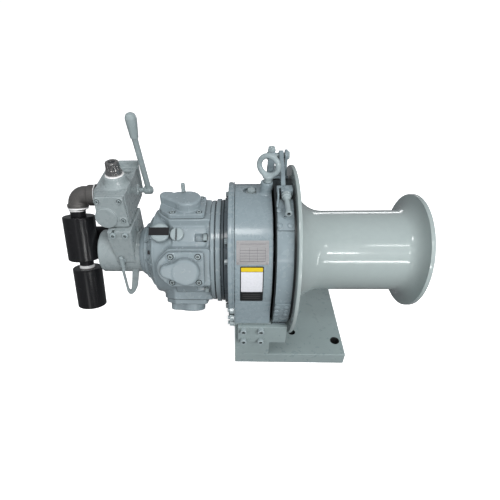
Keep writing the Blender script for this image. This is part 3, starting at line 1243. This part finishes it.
# tape wound on the thread of the valve port
build("port_tape", [lathe([(0, 24.0), (0, 28.6), (1.0, 29.6), (2.0, 28.6), (2.0, 24.0)], (-329.4, 33, 160.5), (1, 0, 0), 56)], [M_TAPE])


def silencer(name, e, t0, t1, rep, hexed):
    ln = t1 - t0
    pr = rprof([(0, 17), (0, 41.0, 0.8), (1.6, 42.9, 1.4), (ln - 1.6, 42.9, 1.4), (ln, 41.0, 0.8), (ln, 36.5, 0.5), (ln - 2.2, 36.0, 0.4), (ln - 2.2, 0)], 4)
    parts = [lathe(pr, al(e, t0), DN, 112) + (0,), lathe([(0, 17), (-0.2, 0)], al(e, t0), DN, 112) + (0,)]
    if hexed:
        parts.append(hexa(50.0, al(e, t0 + 0.2), -DN, 9.0) + (0,))
    build(name, parts, [M_BLACK], reps=[rep])


silencer("silencer_upper", E1, 46.4, 167.0, "muffler_upper", False)
silencer("silencer_lower", E2, 104.4, 228.0, "muffler_lower", False)

# cock and hanging loop
ck = [rod(7.6, (-265, -58, 14), (-265, -66, 14), 1.0, 28), rod(6.0, (-266.5, -67.5, 30), (-267.5, -67.5, -4), 2.6, 28),
      rod(5.0, (-267.5, -67.5, -2), (-268.0, -67.5, -18), 1.0, 24), hexa(13.0, (-267.2, -67.5, 2), (0.03, 0, -1), 5.0)]
build("drain_tap", ck, [M_SCREW], reps=["drain_cock"])
F = Field((-288, -60, -130), (-222, -40, -16), 1.0)
P = F.local()
lo_ = [(-280.5, -10), (-281.0, -112), (-277, -122.5), (-268, -124), (-257, -113), (-246, -92), (-225.5, -10)]
li_ = [(-274.2, -4), (-275.0, -104), (-271.0, -110), (-267, -103), (-261, -80), (-244.0, -4)]
F.d = f_poly(P, "y", rnd(lo_, [1, 6, 5, 5, 6, 10, 1], 4), -54.6, -45.4, r=2.4)
F.cut(f_poly(P, "y", li_, -80, -20), k=2.5)
F.cut(np.sqrt(P[1] ** 2 + P[2] ** 2 + 0 * P[0]) - 59.0)
cast("strap_loop", F, M_VALVE, reps=["loop_bracket"], slot=BODY)

# ------------------------------------------------------------------------ drum
def quarter(s0, r0, a, b, sign, n):
    return [(s0 + sign * a * sin(0.5 * pi * i / n), r0 + b - b * cos(0.5 * pi * i / n)) for i in range(n + 1)]


fi = quarter(277.0, 109.5, 84.6, 98.0, -1, 30)[::-1]
fo = quarter(473.8, 109.5, 34.0, 41.3, 1, 20)
prof = rprof([(183.7, 0), (183.7, 230.3, 1.4), (192.4, 230.3, 1.8), (192.4, 207.6)], 4) + fi[1:] + [(310.0, 109.5), (345.0, 109.5), (380.0, 109.5), (415.0, 109.5), (445.0, 109.5)] + fo[:-1] + \
    rprof([(507.8, 150.6), (507.8, 151.8, 0.4), (518.4, 151.8, 1.6), (518.4, 98.0, 1.2), (505.4, 97.0, 2.0), (504.4, 80.0), (504.4, 0)], 4)
build("drum_shell", [lathe(prof, n=256)], [M_DRUM], reps=["drum"], body="drum", wn=False, sharp=40)
ec = [lathe(rprof([(504.0, 0), (504.0, 77.6), (511.4, 77.6, 1.6), (513.4, 74.0, 1.0), (513.4, 34.0, 1.0), (511.0, 32.0, 1.0), (511.0, 0)], 3), n=128)]
build("end_cap_plate", ec, [M_DRUM], reps=["drum_end_cover"], body="drum", wn=False)
sc = []
for k_ in range(6):
    a = radians(60 * k_ + 30)
    sc += [lathe(rprof([(0, 0), (0, 9.4, 0.3), (1.6, 9.4, 0.4), (1.6, 0)], 2), (513.2, 62 * cos(a), 62 * sin(a)), (1, 0, 0), 28),
           hexa(15.0, (514.6, 62 * cos(a), 62 * sin(a)), (1, 0, 0), 3.6)]
build("end_cap_bolts", sc, [M_DRUM], body="drum")
rim = [lathe(rprof([(137.0, 176.0), (137.0, 196.0, 1.2), (183.6, 196.0), (183.6, 176.0)], 3), n=224, closed=True)]
build("brake_drum_rim", rim, [M_STEEL], reps=["brake_rim"], body="drum")
build("shaft_bar", [rod(34.9, (96.5, 0, 0), (184.0, 0, 0), 1.5, 96)], [M_STEEL], reps=["main_shaft"], body="drum")

# ----------------------------------------------------------------------- brake
for tag, a0, a1 in (("front", -34.0, 73.0), ("rear", 107.0, 214.0)):
    build("band_strap_" + tag, [patch(139.6, 177.4, a0 + 0.6, a1 - 0.6, 196.6, 198.4, 0.2, n=110, corner=0.5) + (1,),
                                patch(139.0, 178.0, a0, a1, 198.4, 200.6, 0.5, n=110, corner=2.0) + (0,)],
          [M_BAND, M_LINING], reps=["brake_band_" + tag])
bp_ = []


def on_band(vf, ang):
    return spin(vf, 90.0 - ang)


for a0, a1 in ((-34.0, -2.5), (50.0, 73.0), (107.0, 130.0), (182.5, 214.0)):
    bp_.append(patch(140.0, 178.0, a0, a1, 200.5, 205.4, 0.9, n=36, corner=3.0))
riv = [(144.6, 63.8), (144.6, 53.2), (168.4, 53.2), (144.8, -6.0), (168.0, -6.0), (144.6, -10.4), (168.0, -10.4), (144.6, -15.0), (168.0, -15.0)]
for s, a in riv + [(s, 180 - a) for s, a in riv]:
    pr = [(0.0, 6.6), (0.9, 6.6), (1.5, 6.2), (2.2, 5.0), (2.7, 3.4), (2.9, 1.6), (2.95, 0)]
    bp_.append(on_band(lathe(pr, (s, 0, 205.1), (0, 0, 1), 28), a))
for s, a in ((155.6, 59.0), (155.6, 121.0)):
    bp_ += [on_band(q, a) for q in cap_screw((s, 0, 205.0), (0, 0, 1), 7.0, 3.4, 3.0)]
build("band_end_plates", bp_, [M_BAND], reps=["band_plates"])

for tag, sy in (("front", 1), ("rear", -1)):
    f = (lambda q: q) if sy == 1 else mirror_y
    th2 = np.radians(np.linspace(-56.0, -33.6, 12))
    arcp = [(-(207.0) * cos(t), (207.0) * sin(t)) for t in th2]
    # anchor block under the band end, its inner side following the band
    poly = [(-168.5, -165.0), (-180.0, -165.0), (-180.0, -109.0), (-174.0, -109.0), (-172.5, -113.0), (-168.5, -116.5)]
    build("anchor_block_" + tag, [f(prism(rnd(poly, [1, 2, 2, 1, 1, 1], 3), "x", 140.0, 178.0, 1.0, 2))], [M_BAND],
          reps=["brake_anchor_" + tag])
    q = [rod(8.0, (147.0, -180.0, z), (147.0, -187.5, z), 1.0, 28) for z in (-124.0,)]
    sc = []
    for x, z in ((150.0, -126.0), (168.0, -126.0), (150.0, -152.0), (168.0, -152.0)):
        sc += [f(w) for w in cap_screw((x, -179.8, z), (0, -1, 0), 10.0, 5.6, 5.0)]
    build("anchor_screws_" + tag, sc, [M_SCREW])

# tightening gear
cl = rnd([(-50, 214), (-24, 214), (-24, 201.5), (-34, 201.8), (-50, 203.5)], [2.5, 2, 0.5, 0.5, 1.5], 4)
F = Field((135, -90, 184), (182, -20, 218), 0.9)
P = F.local()
F.d = f_box(P, (149.5, -50, 196), (178, -24, 214), r=2.0)
F.add(f_rod(P, (163.5, -54.5, 205.0), (163.5, -30, 207.5), 10.4, r=2.0), k=3.0)
F.add(f_box(P, (141, -34, 200), (152, -24, 213.5), r=1.5), k=1.0)
lip = [(142.8, -34, 212.6), (142.9, -46, 211.0), (143.2, -56, 206.0), (142.6, -65, 200.0), (140.9, -75, 194.4), (139.8, -83, 190.4)]
for i in range(len(lip) - 1):
    F.add(f_rod(P, lip[i], lip[i + 1], 2.5, r=0.2), k=1.0)
    F.add(f_sph(P, lip[i + 1], 2.5), k=0.5)
F.add(f_poly(P, "x", [(-33, 212), (-46, 211), (-56, 206), (-66, 199), (-72, 196), (-60, 194), (-33, 198)], 142.0, 144.6, r=0.6), k=0.6)
F.cut(np.sqrt(P[1] ** 2 + P[2] ** 2 + 0 * P[0]) - 200.9 - 0 * P[0])
rr = np.sqrt(P[1] ** 2 + P[2] ** 2 + 0 * P[0])
an_ = np.degrees(np.arctan2(P[2] + 0 * P[0], -P[1] + 0 * P[0]))
F.cut(np.maximum(rr - 205.0, an_ - 73.4))
cast("clevis_casting", F, M_BAND, reps=["brake_clevis"], slot=BODY)

S0, S1 = np.array((161.5, -54.0, 204.4)), np.array((162.5, -121.6, 192.9))
sd = (S1 - S0) / np.linalg.norm(S1 - S0)
sp = [lathe(rprof([(0, 0), (0, 11.6, 1.0), (5.0, 11.6, 1.0), (5.0, 9.6, 0.4), (7.4, 9.6, 0.4), (7.4, 11.2, 0.8), (11.4, 11.2, 1.6), (12.2, 7.4, 0.4)], 3), S0, sd, 48),
      lathe(rprof([(12.0, 8.4, 0.4), (16.0, 8.4, 3.0), (20.0, 6.2, 6.0), (50.0, 6.0, 6.0), (61.0, 7.4, 2.0), (67.6, 8.3, 1.6), (68.0, 4.2, 0.6), (58.0, 3.6)], 4), S0, sd, 48)]
sp.append(lathe([(58.0, 3.6), (58.0, 0)], S0, sd, 48) + (1,))
build("tightening_screw", [q if len(q) > 2 else q + (0,) for q in sp], [M_SCREW, M_HOLE], reps=["brake_screw"])

PY, PZ = 78.0, 243.0
F = Field((120, 56, 182), (178, 102, 262), 1.0)
P = F.local()
F.d = np.full(F.d.shape, 1e3, np.float32)
for s0, s1 in ((124.8, 141.8), (166.4, 173.8)):
    F.add(f_poly(P, "x", rnd([(66.5, 190), (90, 182), (90, 236), (91.5, 245), (86.5, 256), (78, 257.4), (69, 255), (64.5, 246), (66.5, 234)],
                             [1, 1, 8, 6, 6, 6, 6, 6, 8], 3), s0, s1, r=1.0))
F.add(f_box(P, (124.8, 66, 186), (173.8, 90, 211), r=2.0), k=4.0)
F.cut(np.sqrt(P[1] ** 2 + P[2] ** 2 + 0 * P[0]) - 205.6)
cast("fork_casting", F, M_BAND, reps=["brake_fork"], slot=BODY)
build("fork_bolt", [rod(6.9, (141.4, PY, PZ), (166.6, PY, PZ), 0.3),
                    lathe(rprof([(0, 0), (0, 9.8, 0.4), (3.0, 9.8, 0.8), (3.0, 0)], 2), (124.8, PY, PZ), (-1, 0, 0), 32),
                    hexa(19.0, (173.8, PY, PZ), (1, 0, 0), 4.9),
                    lathe(rprof([(0, 0), (0, 10.4, 0.4), (1.8, 10.4, 0.5), (1.8, 0)], 2), (133, PY, 256.2), (0, 0, 1), 32),
                    hexa(17.0, (133, PY, 257.8), (0, 0, 1), 7.4), rod(4.6, (133, PY, 262), (133, PY, 266.6), 1.4, 24)],
      [M_SCREW], reps=["fork_pin"])
F = Field((147, -40, 196), (167, 96, 262), 1.0)
P = F.local()
F.d = f_cyl(P, "x", (PY, PZ), 12.4, 151.2, 162.8, r=1.6)
lk = rnd([(74, 254.5), (38, 239.6), (-2, 225.6), (-25.5, 212.8), (-25.5, 204.5), (4, 208.6), (42, 220.6), (78, 231.5)], [4, 20, 20, 3, 1, 20, 20, 4], 4)
F.add(f_poly(P, "x", lk, 151.6, 162.4, r=1.5), k=3.0)
F.cut(f_cyl(P, "x", (PY, PZ), 7.1, 100, 200))
F.cut(f_box(P, (100, -60, 150), (200, -23.8, 300)))
cast("link_bar", F, M_BAND, reps=["brake_link"], slot=BODY)


# ----------------------------------------------------------------------- stage
cam = bpy.data.cameras.new("cam")
cam.lens, cam.sensor_width, cam.sensor_fit = 26.6205, 36.0, "HORIZONTAL"
cam.shift_x, cam.shift_y = 0.05791, 0.06040
cam.clip_start, cam.clip_end = 0.05, 200.0
co = bpy.data.objects.new("cam", cam)
R3 = Matrix(((0.99878, -0.00248, 0.04934), (0.03833, 0.66904, -0.74224), (-0.03117, 0.74322, 0.66832)))
co.matrix_world = Matrix.Translation(Vector((-0.146336, -0.838420, 0.920450))) @ R3.to_4x4()
bpy.context.scene.collection.objects.link(co)
bpy.context.scene.camera = co

m, t, n = nt_new("floor_pale")
out = N(t, "ShaderNodeOutputMaterial")
p = N(t, "ShaderNodeBsdfPrincipled")
p.inputs["Specular IOR Level"].default_value = 0.1
p.inputs["Emission Color"].default_value = (1.0, 1.0, 1.0, 1.0)
p.inputs["Emission Strength"].default_value = 0.80
L(t, p, "BSDF", out, "Surface")
tc = N(t, "ShaderNodeTexCoord")
n1 = N(t, "ShaderNodeTexNoise", Scale=2.0, Detail=2.0)
L(t, tc, "Object", n1, "Vector")
r1 = ramp(t, n1, "Fac", [(0.3, g3(0.90)), (0.7, g3(0.93))])
L(t, r1, "Color", p, "Base Color")
rr = ramp(t, n1, "Fac", [(0.3, g3(0.85)), (0.7, g3(0.9))])
L(t, rr, "Color", p, "Roughness")
me = bpy.data.meshes.new("floor")
me.from_pydata([(-40, -40, -0.0012), (40, -40, -0.0012), (40, 40, -0.0012), (-40, 40, -0.0012)], [], [(0, 1, 2, 3)])
me.materials.append(m)
fl = bpy.data.objects.new("floor", me)
bpy.context.scene.collection.objects.link(fl)
fl.visible_diffuse = False
fl.visible_glossy = False


def area(name, loc, target, sx, sy, power, col=(1, 1, 1), spread=180.0):
    l = bpy.data.lights.new(name, "AREA")
    l.shape, l.size, l.size_y, l.energy, l.color = "RECTANGLE", sx, sy, power, col
    l.spread = radians(spread)
    o = bpy.data.objects.new(name, l)
    o.location = loc
    d = Vector(target) - Vector(loc)
    o.rotation_euler = d.to_track_quat("-Z", "Y").to_euler()
    bpy.context.scene.collection.objects.link(o)
    return o


ctr = Vector((0.1, 0.0, 0.25))


def strip(name, az_yz, x, dist, length, width, power):
    """A tube light along X, seen from the drum axis at an angle in the YZ plane (0 = front, 90 = up)."""
    a = radians(az_yz)
    loc = Vector((x, -dist * cos(a), 0.28 + dist * sin(a)))
    l = bpy.data.lights.new(name, "AREA")
    l.shape, l.size, l.size_y, l.energy = "RECTANGLE", length, width, power
    o = bpy.data.objects.new(name, l)
    d = (Vector((x, 0, 0.28)) - loc).normalized()
    # local -Z along d, local X along world X
    z = -d
    xx = Vector((1, 0, 0))
    yy = z.cross(xx).normalized()
    o.matrix_world = Matrix((xx, yy, z)).transposed().to_4x4()
    o.matrix_world.translation = loc
    bpy.context.scene.collection.objects.link(o)
    return o


vs = bpy.context.scene.view_settings
vs.view_transform, vs.look, vs.exposure, vs.gamma = "Standard", "None", 0.0, 1.0
w = bpy.data.worlds.new("soft")
bpy.context.scene.world = w
w.use_nodes = True
wt = w.node_tree
bg = wt.nodes["Background"]
tc = wt.nodes.new("ShaderNodeTexCoord")
sx = wt.nodes.new("ShaderNodeSeparateXYZ")
wt.links.new(tc.outputs["Generated"], sx.inputs[0])
wr = ramp(wt, sx, "Z", [(0.0, (0.17, 0.178, 0.187)), (0.12, (0.24, 0.25, 0.26)), (0.5, (0.26, 0.27, 0.283)), (1.0, (0.26, 0.27, 0.285))])
wt.links.new(wr.outputs["Color"], bg.inputs["Color"])
bg.inputs["Strength"].default_value = 1.0


def hide_glossy(o):
    o.visible_glossy = False
    return o


hide_glossy(area("key", (0.96, -2.03, 1.63), ctr, 1.5, 1.5, 57.0))
hide_glossy(area("fill_left", (-1.7, -1.8, 1.2), ctr, 1.4, 1.4, 11.0))
hide_glossy(area("rim_back", (0.4, 1.9, 1.4), ctr, 1.6, 0.8, 10.0))


hide_glossy(area("top_left", (-0.9, -0.6, 2.0), (-0.25, 0.0, 0.35), 1.0, 1.0, 10.0))


def panel(name, loc, target, sx_, sy_, radiance):
    """A light seen mostly in reflections; power from its radiance."""
    return area(name, loc, target, sx_, sy_, radiance * pi * sx_ * sy_)


strip("tube_low", 5.4, 0.92, 2.2, 0.74, 0.10, 20.0 * pi * 0.74 * 0.10)
strip("tube_mid", 29.5, 0.72, 2.3, 0.26, 0.085, 24.0 * pi * 0.26 * 0.085)
strip("tube_high", 50.0, 1.14, 2.4, 0.32, 0.09, 15.0 * pi * 0.32 * 0.09)
strip("tube_back", 169.0, 0.86, 2.2, 0.72, 0.22, 4.2 * pi * 0.72 * 0.22)
panel("silencer_line", (1.18, -0.96, 0.46), (-0.59, -0.01, 0.34), 0.06, 0.85, 9.0)
panel("silencer_soft", (-0.81, -2.17, 0.71), (-0.59, -0.01, 0.34), 0.26, 0.95, 0.6)
panel("window_top", (-0.2, -0.9, 2.4), (-0.1, 0.0, 0.3), 0.5, 0.35, 10.0)
panel("wall_right", (2.2, -0.9, 0.9), (0.1, 0.0, 0.25), 1.4, 1.4, 0.05)
panel("low_front", (-0.6, -2.33, 0.15), (-0.1, 0.0, 0.25), 0.5, 0.3, 1.8)
for nm, lc in (("glint_a", (-0.5, -1.9, 1.7)), ("glint_b", (0.2, -2.2, 1.2))):
    g = panel(nm, lc, (0.0, 0.0, 0.3), 0.1, 0.1, 40.0 if nm == "glint_a" else 8.0)
    g.visible_diffuse = False
